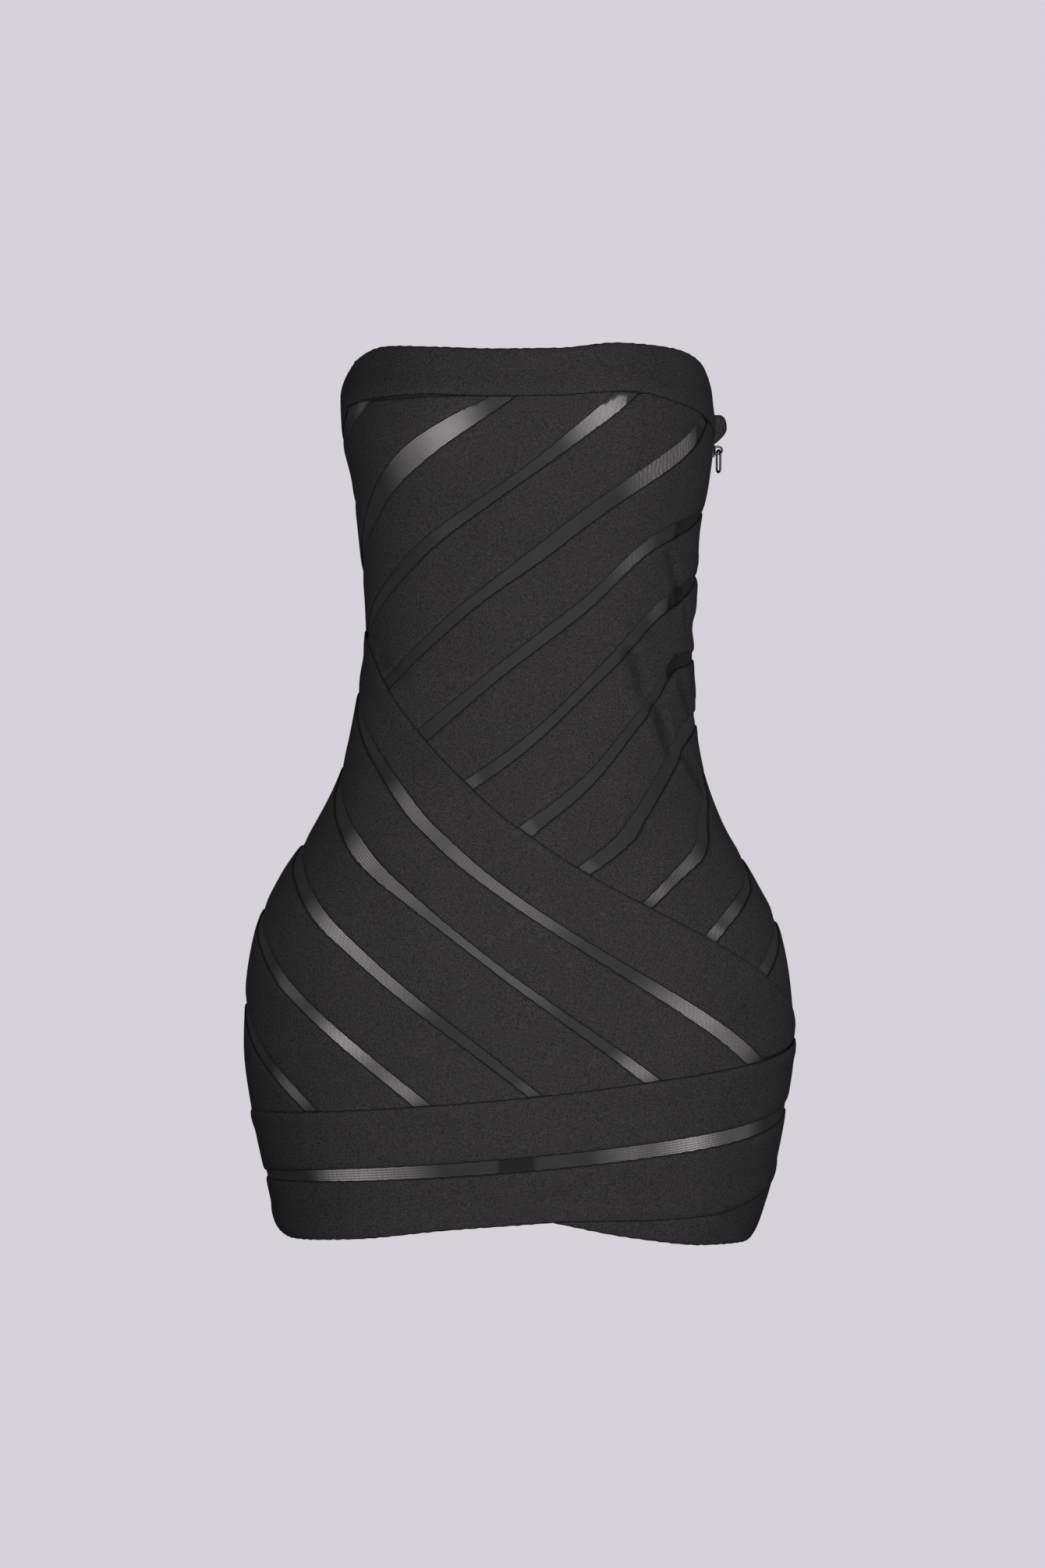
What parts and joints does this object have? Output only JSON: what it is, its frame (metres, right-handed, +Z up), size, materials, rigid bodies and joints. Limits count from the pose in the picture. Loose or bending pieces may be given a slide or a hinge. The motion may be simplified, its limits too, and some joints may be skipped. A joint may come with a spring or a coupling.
{
  "type": "bodycon dress",
  "caption": "Strapless short bodycon dress of knit bandage strips wrapped slantwise over sheer mesh, zipped at the side.",
  "frame": {"origin": "the centre of the chest ring, level with the lower edge of the top band", "axes": "+Z up toward the neckline, the front faces -Y, +X toward the zipped side seam"},
  "size_m": [0.4039, 0.2424, 0.6423],
  "materials": {
    "band": "matt rayon bandage knit",
    "mesh": "sheer ribbed stretch mesh",
    "zip_tape": "woven tape",
    "coil": "nylon coil",
    "metal": "dark nickel plate"
  },
  "bodies": {
    "dress": {"front_mesh_ground": "mesh", "back_mesh_ground": "mesh", "front_top_band": "band", "front_upper_band_1": "band", "front_upper_band_2": "band", "front_upper_band_3": "band", "front_upper_band_4": "band", "front_upper_band_5": "band", "front_upper_band_6": "band", "front_upper_band_7": "band", "front_upper_band_8": "band", "front_upper_band_9": "band", "front_upper_band_10": "band", "front_upper_band_11": "band", "front_wrap_band_1": "band", "front_wrap_band_2": "band", "front_wrap_band_3": "band", "front_wrap_band_4": "band", "front_wrap_band_5": "band", "front_wrap_band_6": "band", "front_hem_band_1": "band", "front_hem_band_2": "band", "front_hem_band_3": "band", "back_top_band": "band", "back_band_1": "band", "back_band_2": "band", "back_band_3": "band", "back_band_4": "band", "back_band_5": "band", "back_band_6": "band", "back_band_7": "band", "back_band_8": "band", "back_band_9": "band", "back_hem_band_1": "band", "back_hem_band_2": "band", "zip_tape_front": "zip_tape", "zip_tape_back": "zip_tape", "zip_chain": "coil", "zip_facing": "zip_tape", "zip_slider": "metal", "zip_guard": "band", "hem_stay": "band"},
    "zip_pull": {"zip_pull": "metal"}
  },
  "joints": [
    {"name": "zip_pull_swing", "type": "hinge", "parent": "dress", "child": "zip_pull", "pos_m": [0.143, -0.0055, -0.0376], "axis": [0.4067, -0.9135, 0], "range_deg": [0, 120]}
  ]
}
